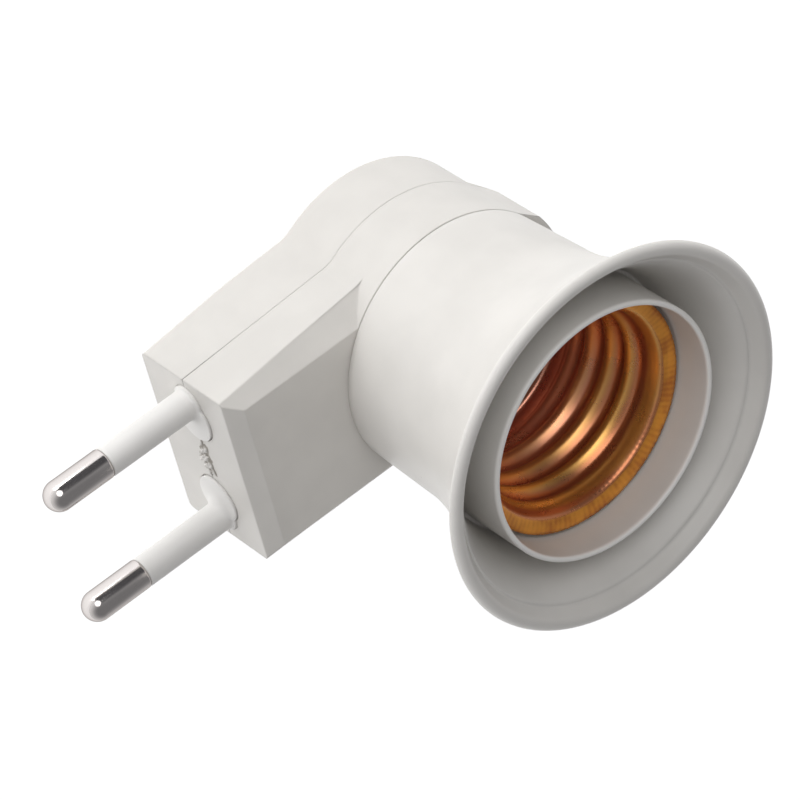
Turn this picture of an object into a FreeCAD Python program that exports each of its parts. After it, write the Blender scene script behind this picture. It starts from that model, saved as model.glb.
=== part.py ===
import FreeCAD, Part
import Sketcher
import math
import os

# A right-angle plug-in lamp holder: two round pins on a split plug block, a round body
# with a rocker switch, and a barrel with a flared bell around the screw shell.
# Millimetres. The origin lies between the pins on the plane of their flanges,
# +Y is the way the pins point and +Z is the way the lamp comes out.

V = FreeCAD.Vector
doc = FreeCAD.newDocument("plug_in_lamp_holder")
sheet = doc.addObject("Spreadsheet::Sheet", "sizes")

# Driving dimensions. Each one is set here once.
SIZES = {
    # where the lamp axis stands and how the shell of the body is split
    "reach": 33.6,
    "front_depth": 8.75,
    "rear_depth": 9.0,
    "housing_wall": 1.7,
    "end_wall": 2.2,
    "flange_proud": 0.5,
    # plug block
    "block_margin": 3.65,
    "block_draft": 1.35,
    "block_root_y": 9.3,
    "end_slope_drop": 1.3,
    "end_slope_run": 2.2,
    "side_slope_in": 1.8,
    "side_slope_drop": 1.6,
    "side_slope_root": 3.0,
    "rear_taper": 0.8,
    "rear_edge_round": 0.8,
    "junction_round": 4.0,
    # pins and their insulating sleeves
    "pin_spacing": 18.6,
    "pin_radius": 2.0,
    "pin_length": 21.6,
    "pin_bare": 9.0,
    "pin_core_radius": 1.5,
    "pin_tail": 9.0,
    "flange_radius": 3.35,
    "flange_offset": 2.5,
    "flange_thick": 1.3,
    "neck_radius": 2.4,
    "lock_radius": 2.85,
    "lock_offset": 1.0,
    "lock_thick": 1.4,
    # screw barrel, collar and bell
    "barrel_flare": 0.4,
    "barrel_straight": 10.2,
    "bell_reach": 8.3,
    "bell_height": 29.0,
    "bell_hollow": 0.259,
    "bell_wall": 1.85,
    "lip_round": 1.0,
    "lip_lift": 0.4,
    "inner_hollow": 0.162,
    "collar_set": 2.25,
    "collar_wall": 0.7,
    "collar_height": 27.7,
    "bore_taper": 0.15,
    "lip_clear": 0.25,
    "recess_floor": 17.6,
    "recess_width": 0.45,
    "spigot_inset": 2.5,
    "spigot_wall": 1.6,
    "spigot_depth": 1.6,
    "lip_over": 1.0,
    "shoulder_fall": 0.4,
    "liner_gap": 1.15,
    "barrel_wall": 2.2,
    "floor_height": 1.25,
    "floor_thick": 2.0,
    # screw shell of a medium lamp screw
    "thread_outer": 13.35,
    "thread_depth": 1.05,
    "thread_pitch": 3.63,
    "thread_turns": 4.0,
    "shell_sheet": 0.4,
    "lip_gap": 0.45,
    "shell_lip_height": 22.6,
    "shell_foot": 5.95,
    "shell_neck": 2.4,
    "shell_bend": 0.9,
    # centre contact and its insulating puck
    "puck_gap": 1.3,
    "puck_thick": 1.8,
    "leaf_sheet": 0.5,
    "leaf_width": 6.0,
    "leaf_rise": 5.0,
    "leaf_run": 8.0,
    "leaf_foot": 5.0,
    "leaf_nose": 2.0,
    "leaf_curl": 1.2,
    "rivet_radius": 1.2,
    "rivet_head_radius": 2.2,
    "rivet_head": 0.7,
    "rivet_draft": 0.3,
    "centre_rivet_y": 5.2,
    # rocker switch behind its raised surround
    "pad_rise": 1.0,
    "pad_half": 8.5,
    "pad_side": 2.6,
    "pad_below": 1.5,
    "pad_ramp": 2.4,
    "window_half": 6.9,
    "rocker_half": 6.0,
    "rocker_low": 1.9,
    "rocker_top": 2.65,
    "rocker_gap": 0.35,
    "rocker_face": 4.2,
    "rocker_dip": 0.5,
    "rocker_cap": 1.4,
    "rocker_hub": 1.9,
    "rocker_nib": 2.6,
    "rocker_tilt": 7.0,
    "pivot_inset": 3.5,
    "pivot_radius": 0.7,
    "pivot_clearance": 0.05,
    "case_half": 7.6,
    "case_inset": 4.1,
    "case_depth": 4.0,
    "case_back_wall": 1.2,
    "case_wall": 0.8,
    "case_roof": 0.5,
    "ear_half": 2.4,
    "ear_gap": 0.5,
    "contact_sheet": 0.35,
    "contact_half": 5.4,
    "terminal_width": 2.4,
    "terminal_sheet": 0.5,
    "terminal_tail": 3.0,
    "terminal_x": 4.0,
    # fasteners and wires
    "screw_radius": 1.45,
    "screw_head_radius": 2.7,
    "screw_head": 1.6,
    "screw_sink": 2.2,
    "screw_grip": 5.6,
    "screw_slot": 0.8,
    "screw_bevel": 0.7,
    "screw_point": 1.0,
    "boss_wall": 1.5,
    "boss_gap": 0.2,
    "block_screw_y": 23.0,
    "screw_inset": 3.8,
    "screw_angle": 34.9,
    "wire_radius": 0.95,
    "wire_bend": 3.8,
    "wire_lead": 1.9,
    # clearance between fitted pieces, and how far each cut runs past its material
    "fit_gap": 0.1,
    "past": 1.0,
}


class Size:
    """A length in millimetres that also knows the sheet expression it comes from."""

    def __init__(self, value, text):
        self.value = float(value)
        self.text = text

    def __add__(self, other):
        other = as_size(other)
        return Size(self.value + other.value, "(%s + %s)" % (self.text, other.text))

    def __sub__(self, other):
        other = as_size(other)
        return Size(self.value - other.value, "(%s - %s)" % (self.text, other.text))

    def __mul__(self, other):
        other = as_size(other)
        return Size(self.value * other.value, "(%s * %s)" % (self.text, other.text))

    def __truediv__(self, other):
        other = as_size(other)
        return Size(self.value / other.value, "(%s / %s)" % (self.text, other.text))

    def __radd__(self, other):
        return as_size(other) + self

    def __rsub__(self, other):
        return as_size(other) - self

    def __rmul__(self, other):
        return as_size(other) * self

    def __neg__(self):
        return Size(-self.value, "(-1 * %s)" % self.text)


def as_size(number):
    """Return a Size for a plain number, and a Size unchanged."""
    if isinstance(number, Size):
        return number
    return Size(number, "%.9g" % number)


def sine(angle):
    """Sine of a Size in degrees."""
    return Size(math.sin(math.radians(angle.value)), "sin(%s * 1deg)" % angle.text)


def cosine(angle):
    """Cosine of a Size in degrees."""
    return Size(math.cos(math.radians(angle.value)), "cos(%s * 1deg)" % angle.text)


def root(size):
    """Square root of a Size."""
    return Size(math.sqrt(size.value), "sqrt(%s)" % size.text)


def hollow_radius(run, rise, share):
    """Radius of an arc over a slope of that run and rise, hollowed by a share of the run."""
    sag = run * share
    return (run * run + rise * rise) / (8 * sag) + sag / 2


class Table:
    """The driving dimensions, read by name as Size objects."""


def fill_sheet(values):
    """Write the driving dimensions into the sheet and return them by name."""
    table = Table()
    for row, (name, value) in enumerate(values.items(), start=1):
        sheet.set("A%d" % row, name)
        sheet.set("B%d" % row, str(value))
        sheet.setAlias("B%d" % row, name)
        setattr(table, name, Size(value, "sizes." + name))
    return table


d = fill_sheet(SIZES)
doc.recompute()

ZERO = as_size(0.0)

# Heights and places that several pieces share.
thread_inner = d.thread_outer - d.thread_depth
liner_bore = d.thread_outer + d.shell_sheet + d.liner_gap
body_radius = liner_bore + d.barrel_wall
collar_radius = liner_bore + d.collar_set
collar_bore = collar_radius - d.collar_wall
bell_radius = collar_radius + d.bell_reach
shell_lip_radius = collar_bore - d.bore_taper - d.lip_gap
shell_foot_radius = d.thread_outer - d.shell_foot
puck_radius = thread_inner - d.puck_gap
shell_rivet_x = (shell_foot_radius + puck_radius) / 2
seam = d.front_depth
end_face = d.reach - d.flange_proud
cavity_radius = body_radius - d.housing_wall
barrel_top_radius = body_radius + d.barrel_flare
spigot_radius = body_radius - d.spigot_inset
pivot_y = body_radius - d.pivot_inset
case_front = body_radius - d.case_inset
case_back = case_front - d.case_depth
ear_reach = cavity_radius - d.ear_gap
screw_ring = body_radius - d.screw_inset
front_ceiling = d.front_depth - d.housing_wall
rear_floor = d.rear_depth - d.housing_wall
pin_x = d.pin_spacing / 2
block_end_half = pin_x + d.block_margin
block_root_half = block_end_half + d.block_draft
floor_top = seam + d.floor_height + d.floor_thick
puck_bottom = floor_top + d.shell_sheet
puck_top = puck_bottom + d.puck_thick
leaf_foot_top = puck_top + d.leaf_sheet
rocker_tall = d.front_depth - d.rocker_low - d.rocker_top
shoulder_height = d.shell_lip_height - d.lip_over
window_low = d.rocker_low - d.rocker_gap
window_high = d.rocker_low + rocker_tall + d.rocker_gap
case_low = window_low - d.case_wall + d.fit_gap
case_high = window_high + d.case_roof
contact_middle = d.rocker_low + rocker_tall / 2
boss_radius = d.screw_radius + d.boss_wall

# Point numbers of sketch geometry, and how near two places count as the same.
START, END, CENTRE = range(1, 4)
SAME = 1e-6
NEAR = 0.01
RIM_SLACK = 0.1
TALL_EDGE = 3.0

# How finely the rolled screw shell is described, and how its lip flares out.
SHELL_COLUMNS = 16
SHELL_ROWS_PER_TURN = 8
LIP_SHARES = (0.3, 0.6, 0.85, 1.0)
LIP_POWER = 3

SCREWS = {
    "block_screw": (ZERO, d.block_screw_y),
    "left_body_screw": (-screw_ring * cosine(d.screw_angle), -screw_ring * sine(d.screw_angle)),
    "right_body_screw": (screw_ring * cosine(d.screw_angle), -screw_ring * sine(d.screw_angle)),
}


def bind(thing, path, size):
    """Tie one property of a document object to the sheet."""
    thing.setExpression(path, as_size(size).text)


def body(label, x=ZERO, y=ZERO, z=ZERO):
    """A new PartDesign body, placed from the sheet."""
    piece = doc.addObject("PartDesign::Body", label)
    piece.Label = label
    for axis, size in zip("xyz", (x, y, z)):
        bind(piece, "Placement.Base." + axis, size)
    return piece


def lamp_body(label):
    """A body whose origin lies on the lamp axis, level with the pins."""
    return body(label, y=-d.reach)


def sketch(piece, plane, lift=ZERO):
    """A sketch on an origin plane of its body, lifted along the plane's normal."""
    drawn = piece.newObject("Sketcher::SketchObject", piece.Name + "_sketch")
    plane_feature = [f for f in piece.Origin.OriginFeatures if f.Role == plane][0]
    drawn.AttachmentSupport = [(plane_feature, "")]
    drawn.MapMode = "FlatFace"
    bind(drawn, "AttachmentOffset.Base.z", lift)
    return drawn


def fix(drawn, geometry, point, x, y):
    """Hold one point of a sketch at bound coordinates."""
    for kind, size in (("DistanceX", as_size(x)), ("DistanceY", as_size(y))):
        index = drawn.addConstraint(
            Sketcher.Constraint(kind, -1, START, geometry, point, size.value))
        bind(drawn, "Constraints[%d]" % index, size)


def arc_through(start, end, radius):
    """Arc from start to end; a positive radius turns left, a negative one right."""
    chord = end - start
    half = chord.Length / 2
    rise = math.sqrt(max(radius * radius - half * half, 0.0))
    left = V(-chord.y, chord.x, 0).normalize()
    centre = (start + end) * 0.5 + left * math.copysign(rise, radius)
    side = -left if radius > 0 else left
    middle = centre + side * abs(radius)
    return Part.Arc(start, middle, end)


def outline(drawn, points):
    """Draw a closed outline; a third value makes the edge to the next point an arc."""
    spots = [V(as_size(p[0]).value, as_size(p[1]).value, 0) for p in points]
    for index, point in enumerate(points):
        start = spots[index]
        end = spots[(index + 1) % len(spots)]
        if len(point) == 2:
            edge = drawn.addGeometry(Part.LineSegment(start, end), False)
            fix(drawn, edge, START, point[0], point[1])
            continue
        radius = as_size(point[2])
        edge = drawn.addGeometry(arc_through(start, end, radius.value), False)
        forward = drawn.getPoint(edge, START).distanceToPoint(start) < SAME
        following = points[(index + 1) % len(points)]
        fix(drawn, edge, START if forward else END, point[0], point[1])
        fix(drawn, edge, END if forward else START, following[0], following[1])
        bound = Size(abs(radius.value), "abs(%s)" % radius.text)
        number = drawn.addConstraint(Sketcher.Constraint("Radius", edge, bound.value))
        bind(drawn, "Constraints[%d]" % number, bound)
    join(drawn, points, spots)
    return drawn


def join(drawn, points, spots):
    """Close the outline: each straight edge ends where the next edge starts."""
    for index, point in enumerate(points):
        if len(point) == 3:
            continue
        after = (index + 1) % len(points)
        forward = drawn.getPoint(after, START).distanceToPoint(spots[after]) < SAME
        first = START if forward else END
        drawn.addConstraint(Sketcher.Constraint("Coincident", index, END, after, first))


def rectangle(drawn, low_x, low_y, high_x, high_y):
    """Draw a bound rectangle."""
    return outline(drawn, [(low_x, low_y), (high_x, low_y), (high_x, high_y), (low_x, high_y)])


def circle(drawn, x, y, radius):
    """Draw a bound circle."""
    centre = V(as_size(x).value, as_size(y).value, 0)
    ring = drawn.addGeometry(Part.Circle(centre, V(0, 0, 1), radius.value), False)
    fix(drawn, ring, CENTRE, x, y)
    number = drawn.addConstraint(Sketcher.Constraint("Radius", ring, radius.value))
    bind(drawn, "Constraints[%d]" % number, radius)
    return drawn


def feature(piece, kind, profile, length, back=False, both=False):
    """Pad or pocket a sketch by a bound length."""
    made = piece.newObject("PartDesign::" + kind, piece.Name + "_" + kind.lower())
    made.Profile = profile
    bind(made, "Length", length)
    made.Reversed = back
    if both:
        made.SideType = "Symmetric"
    return made


def pad(piece, profile, length, **ways):
    return feature(piece, "Pad", profile, length, **ways)


def pocket(piece, profile, length, **ways):
    return feature(piece, "Pocket", profile, length, **ways)


def turned(piece, points, plane="XZ_Plane", axis="V_Axis", kind="Revolution"):
    """Turn an outline about an axis of its sketch, to add material or as a groove."""
    profile = outline(sketch(piece, plane), points)
    made = piece.newObject("PartDesign::" + kind, piece.Name + "_" + kind.lower())
    made.Profile = profile
    made.ReferenceAxis = (profile, [axis])
    return made


def arcsine(ratio):
    """Angle in degrees whose sine is this Size."""
    return Size(math.degrees(math.asin(ratio.value)), "asin(%s) / 1deg" % ratio.text)


def block_outline(drawn, inset, far):
    """The plug block seen along the lamp axis, narrowed by inset and ended at far."""
    slope = (block_root_half - block_end_half) / (end_face - d.block_root_y)
    end_half = block_end_half + slope * (end_face - far) - inset
    inner_half = block_end_half + slope * end_face - inset
    return outline(drawn, [(-end_half, far), (-inner_half, ZERO), (inner_half, ZERO), (end_half, far)])


def cut_pin_seats(piece):
    """Cut the necks and flange seats of both sleeves out of the plug's end wall."""
    mouth = sketch(piece, "XZ_Plane", -end_face)
    for side in (-1, 1):
        circle(mouth, side * pin_x, ZERO, d.neck_radius + d.fit_gap / 2)
    pocket(piece, mouth, d.end_wall + d.fit_gap, back=True)
    for side in (-1, 1):
        seat = sketch(piece, "XZ_Plane", -end_face)
        circle(seat, side * (pin_x - d.flange_offset), ZERO, d.flange_radius + d.fit_gap)
        pocket(piece, seat, d.flange_thick - d.flange_proud, back=True)


def round_edges(piece, edges, radius, name):
    """Round the chosen edges of the newest feature of a body."""
    doc.recompute()
    base = piece.Tip
    numbers = [i for i, edge in enumerate(base.Shape.Edges, start=1) if edges(edge)]
    made = piece.newObject("PartDesign::Fillet", name)
    made.Base = (base, ["Edge%d" % i for i in numbers])
    bind(made, "Radius", radius)
    return made


def is_junction(edge):
    """True for the upright edges where the plug block meets the round body."""
    low = edge.BoundBox
    upright = low.ZLength > TALL_EDGE and low.XLength < NEAR and low.YLength < NEAR
    on_body = abs(math.hypot(low.XMin, low.YMin) - body_radius.value) < NEAR
    return upright and on_body


def make_front_housing():
    """Front half of the split shell: it carries the barrel and frames the switch."""
    piece = lamp_body("front_housing")
    pad(piece, block_outline(sketch(piece, "XY_Plane"), ZERO, end_face), d.front_depth)
    for side in (-1, 1):
        cut_side_slope(piece, side)
    slope = outline(sketch(piece, "YZ_Plane"), [
        (end_face - d.end_slope_run, seam), (end_face, seam - d.end_slope_drop),
        (end_face + d.past, seam - d.end_slope_drop), (end_face + d.past, seam + d.past),
        (end_face - d.end_slope_run, seam + d.past)])
    pocket(piece, slope, 2 * body_radius, both=True)
    pad(piece, circle(sketch(piece, "XY_Plane"), ZERO, ZERO, body_radius), d.front_depth)
    round_edges(piece, is_junction, d.junction_round, "front_junction")
    add_switch_surround(piece, ZERO, seam)
    far = end_face - d.end_wall
    pocket(piece, block_outline(sketch(piece, "XY_Plane"), d.housing_wall, far), front_ceiling, back=True)
    pocket(piece, circle(sketch(piece, "XY_Plane"), ZERO, ZERO, cavity_radius), front_ceiling, back=True)
    opening = circle(sketch(piece, "XY_Plane"), ZERO, ZERO, spigot_radius + d.fit_gap)
    pocket(piece, opening, seam, back=True)
    window = rectangle(sketch(piece, "XZ_Plane"), -d.window_half, window_low, d.window_half, window_high)
    pocket(piece, window, body_radius + 2 * d.pad_rise, back=True)
    for x, y in SCREWS.values():
        boss = circle(sketch(piece, "XY_Plane", d.boss_gap), x, y, boss_radius)
        pad(piece, boss, front_ceiling - d.boss_gap)
    for x, y in SCREWS.values():
        hole = circle(sketch(piece, "XY_Plane"), x, y, d.screw_radius)
        pocket(piece, hole, d.screw_grip, back=True)
    cut_pin_seats(piece)
    return piece


def cut_side_slope(piece, side):
    """Cut the long slope between the front face and one flank of the plug block."""
    sections = []
    inside = d.block_root_y - 2 * d.past
    for place, drop, grow in ((end_face + d.past, d.side_slope_drop, ZERO),
                              (inside, d.side_slope_root, block_root_half - block_end_half)):
        inner = block_end_half - d.side_slope_in
        outer = block_end_half + grow
        sections.append(outline(sketch(piece, "XZ_Plane", -place), [
            (side * inner, seam), (side * outer, seam - drop),
            (side * (outer + 2 * d.past), seam - drop),
            (side * (outer + 2 * d.past), seam + d.past), (side * inner, seam + d.past)]))
    cut = piece.newObject("PartDesign::SubtractiveLoft", piece.Name + "_slope")
    cut.Profile = sections[0]
    cut.Sections = [sections[1]]
    cut.Ruled = True
    return cut


def add_switch_surround(piece, low, high):
    """Raise the rocker's frame between two heights, with sloped sides and a ramp at its foot."""
    outer = body_radius + d.pad_rise
    foot_half = d.pad_half + d.pad_side
    top_y = root(outer * outer - d.pad_half * d.pad_half)
    foot_y = root(body_radius * body_radius - foot_half * foot_half)
    frame = outline(sketch(piece, "XY_Plane", low), [
        (-foot_half, -foot_y), (-d.pad_half, -top_y, outer), (d.pad_half, -top_y),
        (foot_half, -foot_y)])
    pad(piece, frame, high - low)
    ramp_top = d.pad_ramp - d.pad_below
    ramp = turned(piece, [
        (-body_radius, -d.pad_below), (-outer - d.past, -d.pad_below),
        (-outer - d.past, ramp_top), (-outer, ramp_top)], plane="YZ_Plane", kind="Groove")
    ramp.Midplane = True
    bind(ramp, "Angle", 2 * arcsine((foot_half + d.past) / body_radius))


def make_rear_housing():
    """Rear half of the split shell, with the screw wells and bosses."""
    piece = lamp_body("rear_housing")
    pad(piece, block_outline(sketch(piece, "XY_Plane"), ZERO, end_face), d.rear_depth, back=True)
    taper_start = body_radius + d.junction_round / 2
    taper = outline(sketch(piece, "YZ_Plane"), [
        (taper_start, -d.rear_depth), (end_face, d.rear_taper - d.rear_depth),
        (end_face + d.past, d.rear_taper - d.rear_depth), (end_face + d.past, -d.rear_depth - d.past),
        (taper_start, -d.rear_depth - d.past)])
    pocket(piece, taper, 2 * body_radius, both=True)
    pad(piece, circle(sketch(piece, "XY_Plane"), ZERO, ZERO, body_radius), d.rear_depth, back=True)
    round_edges(piece, is_junction, d.junction_round, "rear_junction")
    round_edges(piece, is_rear_rim, d.rear_edge_round, "rear_rim")
    add_switch_surround(piece, -d.pad_below, ZERO)
    far = end_face - d.end_wall
    pocket(piece, block_outline(sketch(piece, "XY_Plane"), d.housing_wall, far), rear_floor)
    pocket(piece, circle(sketch(piece, "XY_Plane"), ZERO, ZERO, cavity_radius), rear_floor)
    for x, y in SCREWS.values():
        boss = circle(sketch(piece, "XY_Plane"), x, y, d.screw_head_radius + d.boss_wall / 2)
        pad(piece, boss, rear_floor, back=True)
    for x, y in SCREWS.values():
        well = circle(sketch(piece, "XY_Plane", -d.rear_depth), x, y, d.screw_head_radius + d.fit_gap)
        pocket(piece, well, d.screw_sink, back=True)
        hole = circle(sketch(piece, "XY_Plane", -d.rear_depth), x, y, d.screw_radius + d.fit_gap)
        pocket(piece, hole, d.rear_depth + d.boss_gap, back=True)
    cut_pin_seats(piece)
    return piece


def is_rear_rim(edge):
    """True for the flat outer edges of the rear face."""
    box = edge.BoundBox
    at_rear = box.ZMax < RIM_SLACK - d.rear_depth.value + d.rear_taper.value
    return at_rear and box.YMin < end_face.value - RIM_SLACK


def make_bell_barrel():
    """Screw barrel, collar and flared bell, moulded in one piece and turned about the lamp axis."""
    piece = lamp_body("bell_barrel")
    lip = seam + d.bell_height
    spigot_bore = spigot_radius - d.spigot_wall
    recess = seam + d.recess_floor
    rim = seam + d.collar_height
    rim_round = (collar_radius - collar_bore) / 2
    bore_end = seam + d.shell_lip_height + d.lip_clear
    shoulder = seam + shoulder_height
    flare_foot = seam + d.barrel_straight
    outer_hollow = hollow_radius(bell_radius - barrel_top_radius, lip - flare_foot, d.bell_hollow)
    mouth_radius = bell_radius - d.bell_wall
    mouth = lip + d.lip_lift
    recess_radius = collar_radius + d.recess_width
    inner_hollow = hollow_radius(mouth_radius - recess_radius, mouth - recess, d.inner_hollow)
    turned(piece, [
        (spigot_bore, seam - d.spigot_depth),
        (spigot_radius, seam - d.spigot_depth),
        (spigot_radius, seam),
        (body_radius, seam),
        (barrel_top_radius, flare_foot, -outer_hollow),
        (bell_radius, lip, d.lip_round),
        (mouth_radius, mouth, inner_hollow),
        (recess_radius, recess),
        (collar_radius, recess),
        (collar_radius, rim - rim_round, rim_round),
        (collar_radius - rim_round, rim, rim_round),
        (collar_bore, rim - rim_round),
        (collar_bore, bore_end),
        (collar_bore - d.bore_taper, shoulder),
        (liner_bore, shoulder - d.shoulder_fall),
        (liner_bore, floor_top),
        (ZERO, floor_top),
        (ZERO, seam + d.floor_height),
        (spigot_bore, seam + d.floor_height)])
    for x, y in ((ZERO, -d.centre_rivet_y), (-shell_rivet_x, ZERO)):
        hole = circle(sketch(piece, "XY_Plane", seam), x, y, d.rivet_radius)
        pocket(piece, hole, d.floor_height + d.floor_thick + d.past, back=True)
    return piece


def pole_pull(step):
    """How far the poles of a cubic spline stand out from a wave they sample at this step."""
    return 3 / (2 + math.cos(step))


def ring_of_poles(radius_at, height):
    """One closed row of control points; radius_at gives the radius wanted at an angle."""
    step = 2 * math.pi / SHELL_COLUMNS
    pull = pole_pull(step)
    row = []
    for column in range(SHELL_COLUMNS):
        angle = step * column
        radius = radius_at(angle) * pull
        row.append(V(radius * math.cos(angle), radius * math.sin(angle), height))
    return row


def shell_skin(offset):
    """One side of the rolled shell, from the edge of its foot to the edge of its lip."""
    thick = d.shell_sheet.value
    wall = d.thread_outer.value + offset
    bend = d.shell_bend.value + offset
    foot = floor_top.value + thick - offset
    low = floor_top.value + d.shell_neck.value
    pitch = d.thread_pitch.value
    high = low + pitch * d.thread_turns.value
    lip = seam.value + d.shell_lip_height.value
    middle = (d.thread_outer.value + thread_inner.value) / 2 + offset
    depth = (d.thread_outer.value - thread_inner.value) / 2
    edge = shell_foot_radius.value
    rows = [(edge, foot), ((edge + wall - bend) / 2, foot), (wall - bend, foot), (wall, foot),
            (wall, foot + bend)]
    skin = [ring_of_poles(lambda angle, r=radius: r, height) for radius, height in rows]
    count = int(round(SHELL_ROWS_PER_TURN * d.thread_turns.value))
    swell = pole_pull(2 * math.pi / SHELL_ROWS_PER_TURN)
    for index in range(count + 1):
        height = low + (high - low) * index / count
        fade = min(index, count - index, SHELL_ROWS_PER_TURN / 2) / (SHELL_ROWS_PER_TURN / 2)

        def radius_at(angle, height=height, fade=fade):
            wave = math.cos(2 * math.pi * height / pitch - angle) * swell
            return middle + depth * (fade * wave + 1 - fade)

        skin.append(ring_of_poles(radius_at, height))
    spread = shell_lip_radius.value - d.thread_outer.value - offset
    for share in LIP_SHARES:
        radius = wall + spread * share ** LIP_POWER
        height = high + (lip - high) * share - offset * share
        skin.append(ring_of_poles(lambda angle, r=radius: r, height))
    spans = len(skin) - 3
    surface = Part.BSplineSurface()
    surface.buildFromPolesMultsKnots(
        skin, [4] + [1] * (spans - 1) + [4], [1] * (SHELL_COLUMNS + 1),
        list(range(spans + 1)), list(range(SHELL_COLUMNS + 1)), False, True, 3, 3)
    return surface.toShape()


def make_screw_shell():
    """Rolled brass screw shell with a foot and a flared lip, as one closed sheet."""
    thick = d.shell_sheet.value
    inner = shell_skin(0.0)
    outer = shell_skin(thick)
    faces = [inner, outer]
    for pick in (min, max):
        ends = []
        for skin in (inner, outer):
            rims = [e for e in skin.Edges if e.BoundBox.ZLength < 1e-3]
            ends.append(pick(rims, key=lambda e: e.BoundBox.ZMin))
        faces.append(Part.makeRuledSurface(ends[0], ends[1]))
    shell = Part.Shell(Part.Compound(faces).Faces)
    shell.sewShape()
    solid = Part.Solid(shell)
    if solid.Volume < 0:
        solid.reverse()
    hole = Part.makeCylinder(d.rivet_radius.value, 3 * thick,
                             V(-shell_rivet_x.value, 0, floor_top.value - thick))
    made = doc.addObject("Part::Feature", "screw_shell")
    made.Label = "screw_shell"
    made.Shape = solid.cut(hole)
    bind(made, "Placement.Base.y", -d.reach)
    return made


def make_contact_puck():
    """Insulating puck that clamps the foot of the screw shell and carries the centre contact."""
    piece = lamp_body("contact_puck")
    disc = circle(sketch(piece, "XY_Plane", puck_bottom), ZERO, ZERO, puck_radius)
    pad(piece, disc, d.puck_thick)
    spacer = circle(sketch(piece, "XY_Plane", floor_top), ZERO, ZERO, shell_foot_radius - d.fit_gap)
    pad(piece, spacer, d.shell_sheet + d.fit_gap)
    for x, y in ((ZERO, -d.centre_rivet_y), (-shell_rivet_x, ZERO)):
        hole = circle(sketch(piece, "XY_Plane", floor_top), x, y, d.rivet_radius)
        pocket(piece, hole, d.puck_thick + 2 * d.shell_sheet, back=True)
    return piece


def make_centre_contact():
    """Sprung brass leaf that rises from its riveted foot to the middle of the shell."""
    piece = lamp_body("centre_contact")
    start = -d.centre_rivet_y - d.leaf_foot / 2
    knee = start + d.leaf_foot
    crown = knee + d.leaf_run
    top = leaf_foot_top + d.leaf_rise
    leaf = outline(sketch(piece, "YZ_Plane"), [
        (start, puck_top), (knee, puck_top), (crown, top - d.leaf_sheet),
        (crown + d.leaf_nose, top - d.leaf_sheet - d.leaf_curl),
        (crown + d.leaf_nose, top - d.leaf_curl),
        (crown, top), (knee - d.leaf_sheet / 2, leaf_foot_top), (start, leaf_foot_top)])
    pad(piece, leaf, d.leaf_width, both=True)
    hole = circle(sketch(piece, "XY_Plane", puck_top), ZERO, -d.centre_rivet_y, d.rivet_radius)
    pocket(piece, hole, 2 * d.leaf_sheet, back=True)
    return piece


def make_rivet(label, x, y, top):
    """Round rivet from its head above down to the terminal tag under the barrel floor."""
    piece = body(label, x=x, y=y - d.reach)
    under = seam + d.floor_height - d.terminal_sheet
    turned(piece, [
        (ZERO, under - d.rivet_head),
        (d.rivet_head_radius - 2 * d.rivet_draft, under - d.rivet_head),
        (d.rivet_head_radius - d.rivet_draft, under), (d.rivet_radius, under),
        (d.rivet_radius, top), (d.rivet_head_radius, top),
        (d.rivet_head_radius - d.rivet_draft, top + d.rivet_head),
        (ZERO, top + d.rivet_head)])
    return piece


def make_tag(label, x, y, plane):
    """Brass solder tag under a rivet, with its tail turned down into the body."""
    piece = body(label, x=x, y=y - d.reach)
    under = seam + d.floor_height
    half = d.rivet_head_radius
    tail = half + d.terminal_tail
    low = under - d.terminal_sheet
    tag = outline(sketch(piece, plane), [
        (-half, under), (-half, low), (tail - d.terminal_sheet, low),
        (tail - d.terminal_sheet, low - d.terminal_tail),
        (tail, low - d.terminal_tail), (tail, under)])
    pad(piece, tag, 2 * half, both=True)
    hole = circle(sketch(piece, "XY_Plane", low), ZERO, ZERO, d.rivet_radius)
    pocket(piece, hole, 2 * d.terminal_sheet, back=True)
    return piece


def make_pin(label, side):
    """Contact pin with a round nose, a slimmer core inside its sleeve and a riveted tail."""
    piece = body(label, x=side * pin_x)
    tip = d.pin_length
    step = tip - d.pin_bare
    turned(piece, [
        (ZERO, -d.pin_tail), (d.pin_core_radius, -d.pin_tail), (d.pin_core_radius, step),
        (d.pin_radius, step), (d.pin_radius, tip - d.pin_radius, d.pin_radius),
        (ZERO, tip)], plane="XY_Plane")
    return piece


def make_sleeve(label, side):
    """White insulating sleeve with its flange and the collar that locks it in the housing."""
    piece = body(label, x=side * pin_x)
    step = d.pin_length - d.pin_bare
    back = d.flange_proud + d.end_wall
    turned(piece, [
        (d.pin_core_radius, -back - d.fit_gap), (d.neck_radius, -back - d.fit_gap),
        (d.neck_radius, ZERO), (d.pin_radius, ZERO), (d.pin_radius, step),
        (d.pin_core_radius, step)], plane="XY_Plane")
    lock = circle(sketch(piece, "XZ_Plane", back + d.fit_gap), -side * d.lock_offset, ZERO, d.lock_radius)
    pad(piece, lock, d.lock_thick)
    disc = circle(sketch(piece, "XZ_Plane"), -side * d.flange_offset, ZERO, d.flange_radius)
    pad(piece, disc, d.flange_thick)
    core = circle(sketch(piece, "XZ_Plane"), ZERO, ZERO, d.pin_core_radius)
    pocket(piece, core, 2 * (back + d.fit_gap + d.lock_thick), both=True)
    return piece


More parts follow.
